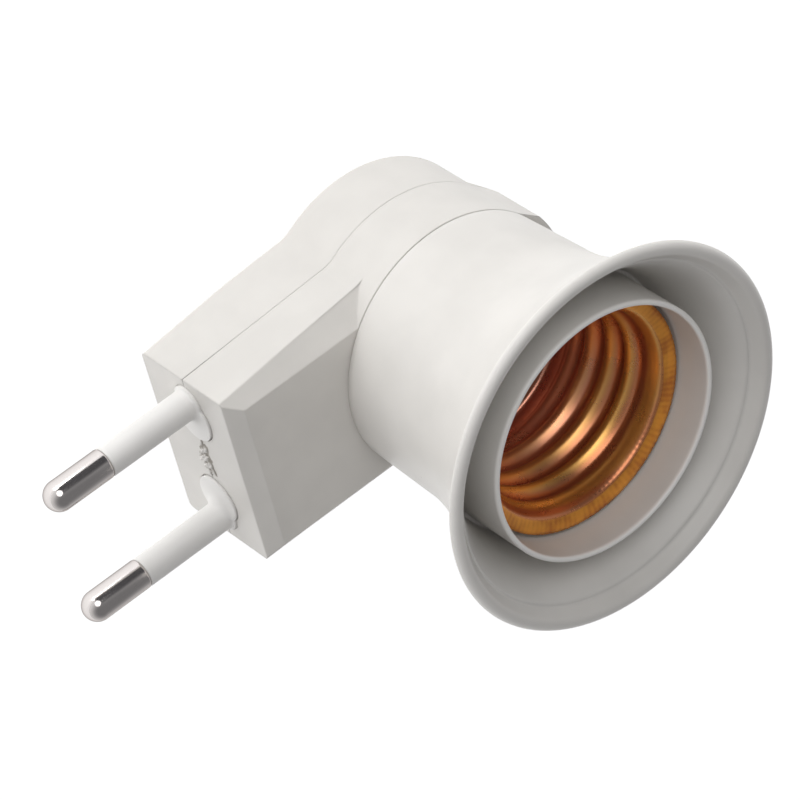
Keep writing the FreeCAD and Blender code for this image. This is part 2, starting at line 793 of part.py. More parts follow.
def make_rocker():
    """Rocker key with a shallow dip between its two ends, tilted to one side."""
    piece = body("rocker", y=-d.reach - pivot_y, z=d.rocker_low)
    piece.setExpression("Placement.Rotation.Angle", d.rocker_tilt.text)
    piece.setExpression("Placement.Rotation.Axis.z", "1")
    piece.setExpression("Placement.Rotation.Axis.x", "0")
    cap = d.rocker_face - d.rocker_cap
    shape = outline(sketch(piece, "XY_Plane"), [
        (-d.rocker_half, -cap), (-d.rocker_half, -d.rocker_face),
        (ZERO, d.rocker_dip - d.rocker_face), (d.rocker_half, -d.rocker_face),
        (d.rocker_half, -cap), (d.rocker_hub, ZERO), (d.rocker_hub / 2, d.rocker_nib),
        (-d.rocker_hub / 2, d.rocker_nib), (-d.rocker_hub, ZERO)])
    pad(piece, shape, rocker_tall)
    bore = circle(sketch(piece, "XY_Plane"), ZERO, ZERO, d.pivot_radius + d.pivot_clearance)
    pocket(piece, bore, rocker_tall + d.past, back=True)
    return piece


def make_rocker_pin():
    """Steel pivot pin of the rocker, held by the ears of the switch case."""
    piece = body("rocker_pin", y=-d.reach - pivot_y)
    shaft = circle(sketch(piece, "XY_Plane", case_low), ZERO, ZERO, d.pivot_radius)
    pad(piece, shaft, case_high - case_low)
    return piece


def make_switch_case():
    """Moulded case of the switch, open towards the window, with two pivot ears."""
    piece = lamp_body("switch_case")
    tall = case_high - case_low
    shell = rectangle(sketch(piece, "XY_Plane", case_low),
                      -d.case_half, -case_front, d.case_half, -case_back)
    pad(piece, shell, tall)
    ears = rectangle(sketch(piece, "XY_Plane", case_low), -d.ear_half, -ear_reach, d.ear_half, -case_back)
    pad(piece, ears, tall)
    inside = rectangle(sketch(piece, "XY_Plane", window_low), d.case_wall - d.case_half,
                       -ear_reach - d.past, d.case_half - d.case_wall, -case_back - d.case_back_wall)
    pocket(piece, inside, window_high - window_low, back=True)
    hole = circle(sketch(piece, "XY_Plane", case_low), ZERO, -pivot_y, d.pivot_radius)
    pocket(piece, hole, tall + d.past, back=True)
    for side in (-1, 1):
        add_slot(piece, side * d.terminal_x, contact_middle - d.terminal_sheet / 2)
    return piece


def add_slot(piece, x, low):
    """Cut one terminal slot through the back wall of the switch case."""
    half = d.terminal_width / 2
    slot = rectangle(sketch(piece, "XZ_Plane", case_back - d.past), x - half, low,
                     x + half, low + d.terminal_sheet)
    pocket(piece, slot, d.past + d.case_back_wall + 2 * d.fit_gap, back=True)


def make_switch_contact():
    """Thin contact plate that bridges the two switch terminals."""
    piece = lamp_body("switch_contact")
    back = -case_back - d.case_back_wall
    low = d.rocker_low + rocker_tall / 4
    plate = rectangle(sketch(piece, "XY_Plane", low), -d.contact_half, back - d.contact_sheet,
                      d.contact_half, back)
    pad(piece, plate, rocker_tall / 2)
    return piece


def make_terminal(label, side):
    """Flat switch terminal that runs from the contact plate out of the case."""
    piece = body(label, x=side * d.terminal_x, y=-d.reach)
    low = contact_middle - d.terminal_sheet / 2
    half = d.terminal_width / 2
    blade = rectangle(sketch(piece, "XY_Plane", low), -half, -case_back - d.case_back_wall,
                      half, d.terminal_tail - case_back)
    pad(piece, blade, d.terminal_sheet)
    return piece


def make_screw(label, x, y):
    """Pan-headed housing screw, driven from the rear, with a slot across its head."""
    piece = body(label, x=x, y=y - d.reach)
    head_seat = d.screw_sink - d.rear_depth
    head_back = head_seat - d.screw_head
    tip = d.screw_grip - 2 * d.fit_gap
    turned(piece, [
        (ZERO, head_back), (d.screw_head_radius - d.screw_bevel, head_back),
        (d.screw_head_radius, head_back + d.screw_bevel), (d.screw_head_radius, head_seat),
        (d.screw_radius, head_seat), (d.screw_radius, tip - d.screw_point),
        (d.screw_radius - d.screw_bevel, tip), (ZERO, tip)])
    slot = rectangle(sketch(piece, "XY_Plane", head_back), -d.screw_head_radius, -d.screw_slot / 2,
                     d.screw_head_radius, d.screw_slot / 2)
    pocket(piece, slot, d.screw_slot, back=True)
    return piece


def make_wire(label, points):
    """Insulated wire swept along a smooth curve through its points."""
    curve = Part.BSplineCurve()
    curve.interpolate([V(*[as_size(c).value for c in p]) for p in points])
    path = Part.Wire(curve.toShape())
    start = curve.value(curve.FirstParameter)
    heading = curve.tangent(curve.FirstParameter)[0]
    ring = Part.Wire(Part.makeCircle(d.wire_radius.value, start, heading))
    made = doc.addObject("Part::Feature", label)
    made.Label = label
    made.Shape = path.makePipeShell([ring], True, True)
    bind(made, "Placement.Base.y", -d.reach)
    return made


def make_wires():
    """Live, switched and neutral wires, from terminal to terminal inside the body."""
    pin_end = d.reach - d.pin_tail - 2 * d.fit_gap
    bend = pin_end - d.wire_bend
    blade_end = d.terminal_tail - case_back
    blade_start = blade_end - d.terminal_tail + d.wire_radius
    level = contact_middle + d.terminal_sheet / 2 + d.wire_radius + d.fit_gap
    below_tag = seam + d.floor_height - d.terminal_sheet - d.terminal_tail - d.wire_lead
    on_tag = below_tag + d.wire_lead + d.wire_radius
    beside = d.rivet_head_radius + d.terminal_tail + d.wire_radius + d.fit_gap
    tag_y = beside - d.centre_rivet_y
    tag_x = beside - shell_rivet_x
    return [
        make_wire("live_wire", [
            (pin_x, pin_end, ZERO), (pin_x, bend, ZERO), (pin_x, ZERO, level / 2),
            (d.terminal_x + d.wire_radius, blade_end + d.wire_radius, level),
            (d.terminal_x, blade_start, level)]),
        make_wire("switched_wire", [
            (-d.terminal_x, blade_start, level), (-d.terminal_x, blade_end + d.wire_radius, level),
            (d.wire_radius, tag_y, below_tag), (ZERO, tag_y, on_tag)]),
        make_wire("neutral_wire", [
            (-pin_x, pin_end, ZERO), (-pin_x, bend, ZERO),
            (tag_x - d.wire_lead, pin_end / 3, ZERO),
            (tag_x, d.terminal_width, below_tag), (tag_x, d.wire_radius, on_tag)]),
    ]


pieces = [make_front_housing(), make_rear_housing(), make_bell_barrel(), make_screw_shell(),
          make_contact_puck(), make_centre_contact()]
pieces.append(make_rivet("centre_rivet", ZERO, -d.centre_rivet_y, leaf_foot_top))
pieces.append(make_rivet("shell_rivet", -shell_rivet_x, ZERO, puck_top))
pieces.append(make_tag("centre_tag", ZERO, -d.centre_rivet_y, "YZ_Plane"))
pieces.append(make_tag("shell_tag", -shell_rivet_x, ZERO, "XZ_Plane"))
for hand, side in (("left", -1), ("right", 1)):
    pieces.append(make_pin(hand + "_pin", side))
    pieces.append(make_sleeve(hand + "_sleeve", side))
    pieces.append(make_terminal(hand + "_terminal", side))
pieces += [make_rocker(), make_rocker_pin(), make_switch_case(), make_switch_contact()]
for name, (x, y) in SCREWS.items():
    pieces.append(make_screw(name, x, y))
pieces += make_wires()

doc.recompute()

for thing in doc.Objects:
    if "Invalid" in thing.State or "Error" in thing.State:
        raise RuntimeError("%s did not build: %s" % (thing.Name, thing.State))
    shaped = thing.isDerivedFrom("PartDesign::Feature") or thing in pieces
    if shaped and (thing.Shape.isNull() or not thing.Shape.isValid()):
        raise RuntimeError("%s has no valid shape" % thing.Name)

os.makedirs("parts", exist_ok=True)
for piece in pieces:
    piece.Shape.exportStep("parts/%s.step" % piece.Label)
    print("%-18s solids %d volume %9.2f" % (piece.Label, len(piece.Shape.Solids), piece.Shape.Volume))
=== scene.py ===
# %% [markdown]
# # A plug-in lamp holder
# The holder plugs straight into a wall outlet and carries a lamp at a right angle to it.
# Its construction already exists as a frame of solids, so this lesson dresses that frame:
# each visible piece gets a finer surface where it needs one, and a finish that behaves
# like the real moulding, plating or brass.

# %% Load the frame
import math

import bmesh
import bpy
import numpy as np
from mathutils import Matrix, Vector


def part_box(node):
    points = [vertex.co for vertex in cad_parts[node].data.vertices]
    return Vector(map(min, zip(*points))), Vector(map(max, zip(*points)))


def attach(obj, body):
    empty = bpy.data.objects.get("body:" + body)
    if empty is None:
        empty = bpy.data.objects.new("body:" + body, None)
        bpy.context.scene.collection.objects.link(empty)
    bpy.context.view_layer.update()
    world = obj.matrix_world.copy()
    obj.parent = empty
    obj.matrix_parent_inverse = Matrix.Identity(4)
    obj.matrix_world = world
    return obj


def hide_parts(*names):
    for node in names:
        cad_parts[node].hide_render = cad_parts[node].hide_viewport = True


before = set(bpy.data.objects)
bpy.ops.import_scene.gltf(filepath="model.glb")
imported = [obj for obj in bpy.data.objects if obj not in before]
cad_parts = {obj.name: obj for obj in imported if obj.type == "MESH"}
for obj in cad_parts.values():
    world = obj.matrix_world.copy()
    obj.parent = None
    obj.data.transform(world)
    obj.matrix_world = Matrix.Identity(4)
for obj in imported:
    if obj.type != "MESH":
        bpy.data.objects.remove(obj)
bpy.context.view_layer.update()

# %% [markdown]
# ## Places that everything shares
# The barrel, its bell and the screw shell all turn about the lamp axis. Reading that
# axis and the main heights from the frame keeps every new surface on the solids,
# whatever size they come out.

# %% Read the main places
MM = 0.001
barrel_low, barrel_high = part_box("bell_barrel")
front_low, front_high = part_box("front_housing")
LAMP_AXIS = Vector(((barrel_low.x + barrel_high.x) / 2, (barrel_low.y + barrel_high.y) / 2, 0))
BELL_RADIUS = (barrel_high.x - barrel_low.x) / 2
SEAM = front_high.z
BODY_RADIUS = (front_high.x - front_low.x) / 2
print("lamp axis at y", round(LAMP_AXIS.y, 5), "seam at z", round(SEAM, 5))

# %% [markdown]
# ## Surfaces from a grid of points
# A turned or rolled piece is a surface of two parameters. Working out all its points as
# one array and joining neighbours into quads is quick, and the same helper serves every
# piece. The grid is joined to itself both ways, so each piece is closed. The enclosed
# volume tells which way the faces point, so that they can be turned outwards, and merging
# the doubles closes the poles.


# %% A mesh from a grid
MERGE_WITHIN = 1e-7


def surface(name, points):
    """Mesh object from points of shape (rows, columns, 3) that run full circle both ways."""
    rows, columns = points.shape[:2]
    number = np.arange(rows * columns).reshape(rows, columns)
    number = np.hstack([number, number[:, :1]])
    number = np.vstack([number, number[:1]])
    quads = np.stack([number[:-1, :-1], number[:-1, 1:], number[1:, 1:], number[1:, :-1]], -1)
    quads = quads.reshape(-1, 4)
    flat = points.reshape(-1, 3)
    corner = flat[quads] - flat.mean(0)
    volume = np.einsum("ij,ij->i", corner[:, 0], np.cross(corner[:, 1], corner[:, 3])).sum()
    if volume < 0:
        quads = quads[:, ::-1]
    mesh = bpy.data.meshes.new(name)
    mesh.from_pydata(flat.tolist(), [], quads.tolist())
    piece = bpy.data.objects.new(name, mesh)
    bpy.context.scene.collection.objects.link(piece)
    merged = bmesh.new()
    merged.from_mesh(mesh)
    bmesh.ops.remove_doubles(merged, verts=merged.verts, dist=MERGE_WITHIN)
    merged.to_mesh(mesh)
    merged.free()
    mesh.shade_smooth()
    print(name, len(mesh.polygons), "faces")
    return piece


# %% [markdown]
# ## Profiles
# A turned piece needs only its section. The section here is a chain of straight edges
# and arcs, and each arc is given by its two ends and how far it bows out, so that it
# always meets its neighbours. The chain is divided evenly, finer on the arcs.


# %% Lines and arcs of a section
ON_AXIS = 1e-9


def line(start, end, steps=1):
    """Points from start towards end, the end itself left to the next edge."""
    share = np.linspace(0, 1, steps, endpoint=False)[:, None]
    return np.array(start) * (1 - share) + np.array(end) * share


def bow(start, end, radius, steps):
    """Arc from start to end that turns left for a positive radius and right for a negative one.

    The centre lies on the chord's perpendicular, at the height left over when half the
    chord is taken from the radius by Pythagoras; the points sweep evenly about it.
    """
    start, end = np.array(start, float), np.array(end, float)
    chord = end - start
    half = np.hypot(*chord) / 2
    left = np.array([-chord[1], chord[0]]) / (2 * half)
    height = math.sqrt(max(radius**2 - half**2, 0))
    centre = (start + end) / 2 + left * math.copysign(height, radius)
    first = math.atan2(*(start - centre)[::-1])
    sweep = math.copysign(2 * math.asin(min(half / abs(radius), 1)), radius)
    angle = first + sweep * np.linspace(0, 1, steps, endpoint=False)
    return centre + abs(radius) * np.stack([np.cos(angle), np.sin(angle)], -1)


def turned(name, section, columns):
    """Surface of revolution about the lamp axis: radius times cosine and sine, height as it is."""
    angle = np.linspace(0, 2 * np.pi, columns, endpoint=False)
    radius = section[:, :1]
    return surface(name, np.stack([
        LAMP_AXIS.x + radius * np.cos(angle), LAMP_AXIS.y + radius * np.sin(angle),
        np.broadcast_to(section[:, 1:], (len(section), columns))], -1))


# %% [markdown]
# ## The bell
# Barrel, collar and bell are one moulding. From the seam the barrel rises almost
# straight and then flares to a rounded lip. Inside the bell stands a thin collar, with
# a deep narrow trough between them. The moulding has fine marks that give it scale: a
# bevel at the foot that leaves a hairline groove at the seam, and a shallow step just
# inside the lip. All of them are edges of the same section.

# %% Sizes of the bell
BARREL_TOP = BODY_RADIUS + 0.4 * MM
BARREL_STRAIGHT = 10.2 * MM
BELL_HEIGHT = 29.0 * MM
FLARE_HOLLOW = 0.259
INNER_HOLLOW = 0.162
LIP_RADIUS = 1.0 * MM
MOUTH = (BELL_RADIUS - 1.85 * MM, SEAM + BELL_HEIGHT + 0.4 * MM)
COLLAR = BELL_RADIUS - 8.3 * MM
COLLAR_BORE = COLLAR - 0.7 * MM
COLLAR_RIM = SEAM + 27.7 * MM
RIM_ROUND = (COLLAR - COLLAR_BORE) / 2
TROUGH = (COLLAR + 0.45 * MM, SEAM + 17.6 * MM)
FOOT_BEVEL = 0.16 * MM
STEP_INSET = 0.95 * MM
STEP_DROP = 1.35 * MM
STEP_IN = 0.12 * MM
STEP_RISE = 0.02 * MM
BORE_END = SEAM + 22.85 * MM
BORE_TAPER = 0.15 * MM
SHOULDER_FALL = 0.4 * MM
LINER = 14.9 * MM
LINER_TOP = SEAM + 21.6 * MM
FLOOR = SEAM + 3.25 * MM
UNDER_FLOOR = SEAM + 1.25 * MM
SPIGOT = BODY_RADIUS - 2.5 * MM
SPIGOT_BORE = SPIGOT - 1.6 * MM
SPIGOT_LOW = SEAM - 1.6 * MM


# %% The bell's section
def hollow(start, end, share):
    """Radius of an arc that hollows a slope by a share of its sideways run."""
    run, rise = abs(end[0] - start[0]), abs(end[1] - start[1])
    sag = run * share
    return (run**2 + rise**2) / (8 * sag) + sag / 2


flare_foot = (BARREL_TOP, SEAM + BARREL_STRAIGHT)
lip = (BELL_RADIUS, SEAM + BELL_HEIGHT)
step_at = (MOUTH[0] - STEP_INSET, MOUTH[1] - STEP_DROP)
step_end = (step_at[0] - STEP_IN, step_at[1] + STEP_RISE)
rim_outer = (COLLAR, COLLAR_RIM - RIM_ROUND)
rim_inner = (COLLAR_BORE, COLLAR_RIM - RIM_ROUND)
taper_end = (COLLAR_BORE - BORE_TAPER, LINER_TOP)
liner_start = (LINER, LINER_TOP - SHOULDER_FALL)
section = np.vstack([
    line((SPIGOT_BORE, SPIGOT_LOW), (SPIGOT, SPIGOT_LOW)),
    line((SPIGOT, SPIGOT_LOW), (SPIGOT, SEAM)),
    line((SPIGOT, SEAM), (BODY_RADIUS - FOOT_BEVEL, SEAM)),
    line((BODY_RADIUS - FOOT_BEVEL, SEAM), (BODY_RADIUS, SEAM + FOOT_BEVEL), 2),
    line((BODY_RADIUS, SEAM + FOOT_BEVEL), flare_foot, 12),
    bow(flare_foot, lip, -hollow(flare_foot, lip, FLARE_HOLLOW), 40),
    bow(lip, MOUTH, LIP_RADIUS, 16),
    line(MOUTH, step_at, 4),
    line(step_at, step_end, 2),
    bow(step_end, TROUGH, hollow(MOUTH, TROUGH, INNER_HOLLOW), 28),
    line(TROUGH, (COLLAR, TROUGH[1]), 2),
    line((COLLAR, TROUGH[1]), rim_outer, 10),
    bow(rim_outer, rim_inner, RIM_ROUND, 10),
    line(rim_inner, (COLLAR_BORE, BORE_END), 6),
    line((COLLAR_BORE, BORE_END), taper_end, 2),
    line(taper_end, liner_start, 2),
    line(liner_start, (LINER, FLOOR), 4),
    line((LINER, FLOOR), (ON_AXIS, FLOOR), 4),
    line((ON_AXIS, FLOOR), (ON_AXIS, UNDER_FLOOR)),
    line((ON_AXIS, UNDER_FLOOR), (SPIGOT_BORE, UNDER_FLOOR), 3),
    line((SPIGOT_BORE, UNDER_FLOOR), (SPIGOT_BORE, SPIGOT_LOW)),
])
bell = turned("bell", section, 256)
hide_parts("bell_barrel")
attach(bell, "holder")

# %% [markdown]
# ## Shader maths as plain Python
# A finish is a small network of nodes, which is hard to read as a list of links. Here
# one class wraps a value in the network, and the usual operators add the Math nodes, so
# that a mask reads like a formula. Everything else goes through one method that takes
# the node's type, its settings and its inputs.


# %% Values with operators
class Value:
    """A number that varies over the surface; arithmetic on it adds Math nodes."""

    def __init__(self, network, socket):
        self.network = network
        self.socket = socket

    def math(self, operation, *others):
        """A Math node whose first input is this value."""
        inputs = dict(enumerate((self,) + others))
        return self.network.add("Math", {"operation": operation}, inputs)

    def __add__(self, other):
        return self.math("ADD", other)

    def __radd__(self, other):
        return self.math("ADD", other)

    def __sub__(self, other):
        return self.math("SUBTRACT", other)

    def __rsub__(self, other):
        return self.network.add("Math", {"operation": "SUBTRACT"}, {0: other, 1: self})

    def __mul__(self, other):
        return self.math("MULTIPLY", other)

    def __rmul__(self, other):
        return self.math("MULTIPLY", other)

    def __pow__(self, other):
        return self.math("POWER", other)

    def ease(self, low, high):
        """Smooth step: 0 below low, 1 above high."""
        limits = {"Value": self, "From Min": low, "From Max": high}
        return self.network.add(
            "MapRange", {"interpolation_type": "SMOOTHSTEP"}, limits, output="Result")


# %% A network of nodes
class Network:
    """The nodes of a material or of the surroundings, added one by one."""

    def __init__(self, owner):
        owner.use_nodes = True
        self.tree = owner.node_tree
        self.tree.nodes.clear()

    def add(self, kind, settings=None, inputs=None, output=0):
        """Add a node: settings first, then its inputs, and return one of its outputs."""
        node = self.tree.nodes.new("ShaderNode" + kind)
        for name, value in (settings or {}).items():
            setattr(node, name, value)
        for name, value in (inputs or {}).items():
            if isinstance(value, Value):
                self.tree.links.new(value.socket, node.inputs[name])
            else:
                node.inputs[name].default_value = value
        return None if output is None else Value(self, node.outputs[output])

    def mix(self, factor, first, second):
        """Colour between first and second."""
        return self.add(
            "Mix", {"data_type": "RGBA"}, {"Factor": factor, 6: first, 7: second}, output=2)


# %% [markdown]
# A finish starts from Object coordinates, which on these pieces are the frame's own
# metres, so that grain and specks keep their real size on every piece.


# %% A finish
class Finish(Network):
    """One material, built up node by node."""

    def __init__(self, name):
        self.material = bpy.data.materials.new(name)
        super().__init__(self.material)
        self.place = self.add("TexCoord", output="Object")

    def noise(self, size, detail=2.0, rough=0.5):
        """Cloudy noise whose patches are about size metres across."""
        return self.add("TexNoise", None, {
            "Vector": self.place, "Scale": 1 / size, "Detail": detail, "Roughness": rough})

    def specks(self, spacing, radius, share):
        """1 in small round specks: cells spacing apart, and only a share of them filled."""
        cell = {"Vector": self.place, "Scale": 1 / spacing}
        near = self.add("TexVoronoi", None, cell, output="Distance")
        lot = self.add("TexVoronoi", None, cell, output="Color")
        red = self.add("SeparateColor", None, {"Color": lot}, output="Red")
        chosen = red.math("LESS_THAN", share)
        return chosen * (1 - near.ease(radius / spacing * 0.6, radius / spacing))

    def bump(self, height, depth, rounding=0.0):
        """Bent normal for a relief whose full height is depth metres, with corners rounded."""
        inputs = {"Height": height, "Distance": depth}
        if rounding:
            inputs["Normal"] = self.add(
                "Bevel", {"samples": 8}, {"Radius": rounding}, output="Normal")
        return self.add("Bump", None, inputs, output="Normal")

    def along(self, axis):
        """The place on the piece along one axis, in metres."""
        return self.add("SeparateXYZ", None, {"Vector": self.place}, output=axis)

    def close(self, **inputs):
        """End in a Principled surface with these inputs, and return the material."""
        named = {name.replace("_", " "): value for name, value in inputs.items()}
        shader = self.add("BsdfPrincipled", None, named)
        self.add("OutputMaterial", None, {"Surface": shader}, output=None)
        return self.material


# %% [markdown]
# ## Moulded plastic
# The housing and the bell are a warm light grey plastic with a soft gloss. Up close it
# is not flat: the mould leaves a faint grain, the shade drifts a little from place to
# place, and a few dark specks are caught in it. Fine grain goes into the bump, a slow
# drift into the colour and the gloss.


# %% Marks in the plastic
DRIFT_SHADE = 0.94
SPECK_SPACING = 2.6 * MM
SPECK_RADIUS = 0.11 * MM
SPECK_STRENGTH = 0.55
SPECK_BROWN = (0.16, 0.14, 0.12, 1)
# Painted shade for the gap where the housing halves meet.
SEAM_SHADE_DARK = (0.12, 0.11, 0.10, 1)
# Painted highlight for the thin rims of the collar and the bell's lip.
RIM_HIGHLIGHT_STRENGTH = 0.85
RIM_HIGHLIGHT_PALE = (0.94, 0.92, 0.89, 1)


def parting_line_shade(finish):
    """Share of painted shade in the hairline gap where the halves meet: most at the plug's end."""
    hairline = 1 - finish.along("Z").math("ABSOLUTE").ease(0.03 * MM, 0.09 * MM)
    return hairline * (0.05 + 0.65 * finish.along("Y").ease(-11 * MM, -2 * MM))


def rim_highlight_mask(finish):
    """1 for a painted highlight where the thin rim of the collar catches the light, and less on
    the bell's lip.
    """
    beside, behind = finish.along("X") - LAMP_AXIS.x, finish.along("Y") - LAMP_AXIS.y
    out = (beside**2 + behind**2) ** 0.5
    inner = 1 - out.ease(COLLAR + 0.2 * MM, COLLAR + 0.5 * MM)
    collar = inner * finish.along("Z").ease(COLLAR_RIM - 0.7 * MM, COLLAR_RIM - 0.2 * MM)
    return collar + 0.35 * out.ease(BELL_RADIUS - 1.3 * MM, BELL_RADIUS - 0.5 * MM)


# %% Plastic finishes
def plastic(name, colour, roughness, speck_share=0.02, grain=0.004 * MM, rounding=0.0,
            split=False, rim_highlight=False):
    """Moulded plastic of a colour, with drift, specks, a fine mould grain and round corners.

    A split piece also shows painted shade in the hairline where its two halves meet, and a piece
    with rim highlights gets a painted highlight on its rims.
    """
    finish = Finish(name)
    drift = finish.noise(9 * MM, detail=3.0)
    shade = tuple(part * DRIFT_SHADE for part in colour)
    tone = finish.mix(drift.ease(0.3, 0.7), (*colour, 1), (*shade, 1))
    specks = finish.specks(SPECK_SPACING, SPECK_RADIUS, speck_share)
    tone = finish.mix(specks * SPECK_STRENGTH, tone, SPECK_BROWN)
    # Painted shade darkens the hairline gap where the halves meet.
    if split:
        tone = finish.mix(parting_line_shade(finish), tone, SEAM_SHADE_DARK)
    # Painted highlight: the thin rims are made paler where they catch the light.
    if rim_highlight:
        tone = finish.mix(RIM_HIGHLIGHT_STRENGTH * rim_highlight_mask(finish), tone, RIM_HIGHLIGHT_PALE)
    fine = finish.noise(0.35 * MM, 4.0, 0.6)
    slow = finish.noise(5 * MM, 2.0)
    return finish.close(
        Base_Color=tone, Roughness=roughness + 0.08 * (slow - 0.5) + 0.05 * (fine - 0.5),
        Normal=finish.bump(fine, grain, rounding), IOR=1.49)


HOUSING_GREY = (0.735, 0.712, 0.675)
BELL_GREY = (0.742, 0.72, 0.684)
CORNER_ROUNDING = 0.4 * MM
housing_plastic = plastic(
    "housing plastic", HOUSING_GREY, 0.42, rounding=CORNER_ROUNDING, split=True)
bell_plastic = plastic("bell plastic", BELL_GREY, 0.4, rim_highlight=True)
sleeve_plastic = plastic("sleeve plastic", (0.84, 0.825, 0.80), 0.45, speck_share=0.008)
rocker_plastic = plastic("rocker plastic", (0.80, 0.785, 0.755), 0.32, rounding=0.3 * MM)
case_plastic = plastic("case plastic", (0.62, 0.60, 0.56), 0.5)
print(len(bpy.data.materials), "plastics made")

# %% [markdown]
# ## Welded copies
# The solids arrive as loose facets, each corner with the normal of the true curved face.
# A copy is welded into one skin, and the normals are carried across the weld as an
# attribute of the corners, so that flats stay flat and curves stay smooth. The plastic
# itself rounds the edges: its normal is bent within a few tenths of a millimetre of
# every sharp edge, which is how a moulding catches the light, without a change to the
# solid.


# %% Welded copies of CAD nodes
WELD_WITHIN = 1e-6


def welded(node):
    """Copy of a CAD node with its facets joined and its corner normals kept."""
    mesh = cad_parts[node].data.copy()
    mesh.name = node + "_skin"
    piece = bpy.data.objects.new(node + "_skin", mesh)
    bpy.context.scene.collection.objects.link(piece)
    normals = np.empty(3 * len(mesh.loops), np.float32)
    mesh.corner_normals.foreach_get("vector", normals)
    carried = mesh.attributes.new("carried", "FLOAT_VECTOR", "CORNER")
    carried.data.foreach_set("vector", normals)
    weld = bmesh.new()
    weld.from_mesh(mesh)
    bmesh.ops.remove_doubles(weld, verts=weld.verts, dist=WELD_WITHIN)
    weld.to_mesh(mesh)
    weld.free()
    normals = np.empty(3 * len(mesh.loops), np.float32)
    mesh.attributes["carried"].data.foreach_get("vector", normals)
    mesh.attributes.remove(mesh.attributes["carried"])
    mesh.normals_split_custom_set(normals.reshape(-1, 3))
    print(node, "welded,", len(mesh.polygons), "faces")
    return piece


def dress(piece, node, body, material):
    """Let a new piece stand for a CAD node: hidden node, body and material in one go."""
    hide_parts(node)
    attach(piece, body)
    piece.data.materials.clear()
    piece.data.materials.append(material)


for node in ("front_housing", "rear_housing"):
    dress(welded(node), node, "holder", housing_plastic)
bell.data.materials.append(bell_plastic)

# %% [markdown]
# ## Brass and plating
# Bare metal is never quite even: its gloss drifts slowly, a fine grain breaks up its
# reflections, and old brass is tarnished in patches. The pins are plated, bright and
# nearly smooth.


# %% Metal finishes
def metal(name, colour, roughness, grain, tarnish=None, edge=(1, 1, 1)):
    """Bare metal with slow changes of gloss, a fine grain and an optional tarnish colour.

    The edge colour is how strongly the metal mirrors at a flat angle.
    """
    finish = Finish(name)
    slow = finish.noise(3 * MM, 3.0)
    fine = finish.noise(0.25 * MM, 3.0, 0.6)
    tone = (*colour, 1)
    if tarnish:
        tone = finish.mix(slow.ease(0.42, 0.66), tone, (*tarnish, 1))
    gloss = roughness + 0.12 * (slow - 0.5) + 0.06 * (fine - 0.5)
    return finish.close(
        Base_Color=tone, Metallic=1.0, Roughness=gloss, Normal=finish.bump(fine, grain),
        Specular_Tint=(*edge, 1))


plating = metal("nickel plating", (0.74, 0.70, 0.68), 0.13, 0.0015 * MM, edge=(0.4, 0.38, 0.37))
spring_brass = metal("spring brass", (0.80, 0.58, 0.26), 0.28, 0.003 * MM, (0.52, 0.30, 0.12))
rivet_metal = metal("rivet metal", (0.72, 0.60, 0.38), 0.3, 0.003 * MM)
zinc_steel = metal("zinc plated steel", (0.62, 0.62, 0.61), 0.3, 0.003 * MM)
print(len(bpy.data.materials), "finishes so far")

# %% [markdown]
# ## Pins and sleeves
# Each pin is turned about its own axis: a slim core inside the sleeve, a small rounded
# shoulder where the bare metal begins, and a round nose. Its sleeve carries a flange that
# is a disc set off towards the other pin. Seen from the pin's axis the disc's edge lies at
# the offset times the cosine of the angle plus the root of the disc's radius squared less
# the offset times the sine squared. The flange rises a little towards the sleeve and runs
# up into it in a small hollow.

# %% Turning about a pin
PIN_RADIUS = 2.0 * MM
CORE_RADIUS = 1.5 * MM
PIN_LENGTH = 21.6 * MM
PIN_TAIL = 9.0 * MM
BARE_LENGTH = 9.0 * MM
SHOULDER = 0.3 * MM
SLEEVE_END = PIN_LENGTH - BARE_LENGTH
NECK_RADIUS = 2.4 * MM
FLANGE_RADIUS = 3.35 * MM
FLANGE_OFFSET = 2.5 * MM
FLANGE_BACK = -1.3 * MM
NECK_BACK = -2.8 * MM
LOCK_RADIUS = 2.85 * MM
LOCK_OFFSET = 1.0 * MM
LOCK_BACK = -4.2 * MM
FLANGE_EDGE = 0.1 * MM
FLANGE_TOP = -0.2 * MM
HOLLOW_HEIGHT = 0.5 * MM
HOLLOW_POWER = 7
CONE_RISE = 0.22 * MM


def about_pin(name, side, radius, height):
    """Closed grid about a pin's axis; angle 0 points towards the other pin."""
    angle = np.linspace(0, 2 * np.pi, radius.shape[1], endpoint=False)
    low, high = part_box(("left" if side < 0 else "right") + "_pin")
    across = (low.x + high.x) / 2 - side * radius * np.cos(angle)
    return surface(name, np.stack([
        across, np.broadcast_to(height, radius.shape), radius * np.sin(angle)], -1))


def pin(name, side):
    """Contact pin: radius and height of its section, with a quarter circle for the nose."""
    nose = np.linspace(0, np.pi / 2, 16)[:, None]
    bend = np.linspace(0, np.pi / 2, 5)[:, None]
    profile = np.vstack([
        line((ON_AXIS, -PIN_TAIL), (CORE_RADIUS, -PIN_TAIL), 2),
        line((CORE_RADIUS, -PIN_TAIL), (CORE_RADIUS, SLEEVE_END), 4),
        np.hstack([PIN_RADIUS - SHOULDER + SHOULDER * np.sin(bend),
                   SLEEVE_END + SHOULDER * (1 - np.cos(bend))]),
        np.hstack([PIN_RADIUS * np.cos(nose), PIN_LENGTH - PIN_RADIUS * (1 - np.sin(nose))])])
    profile[-1, 0] = ON_AXIS
    radius = np.broadcast_to(profile[:, :1], (len(profile), 48))
    return about_pin(name, side, radius, profile[:, 1:])


def disc_edge(radius, offset, angle):
    """Distance from the pin's axis to the edge of a disc set off from it."""
    return offset * np.cos(angle) + np.sqrt(radius**2 - (offset * np.sin(angle)) ** 2)


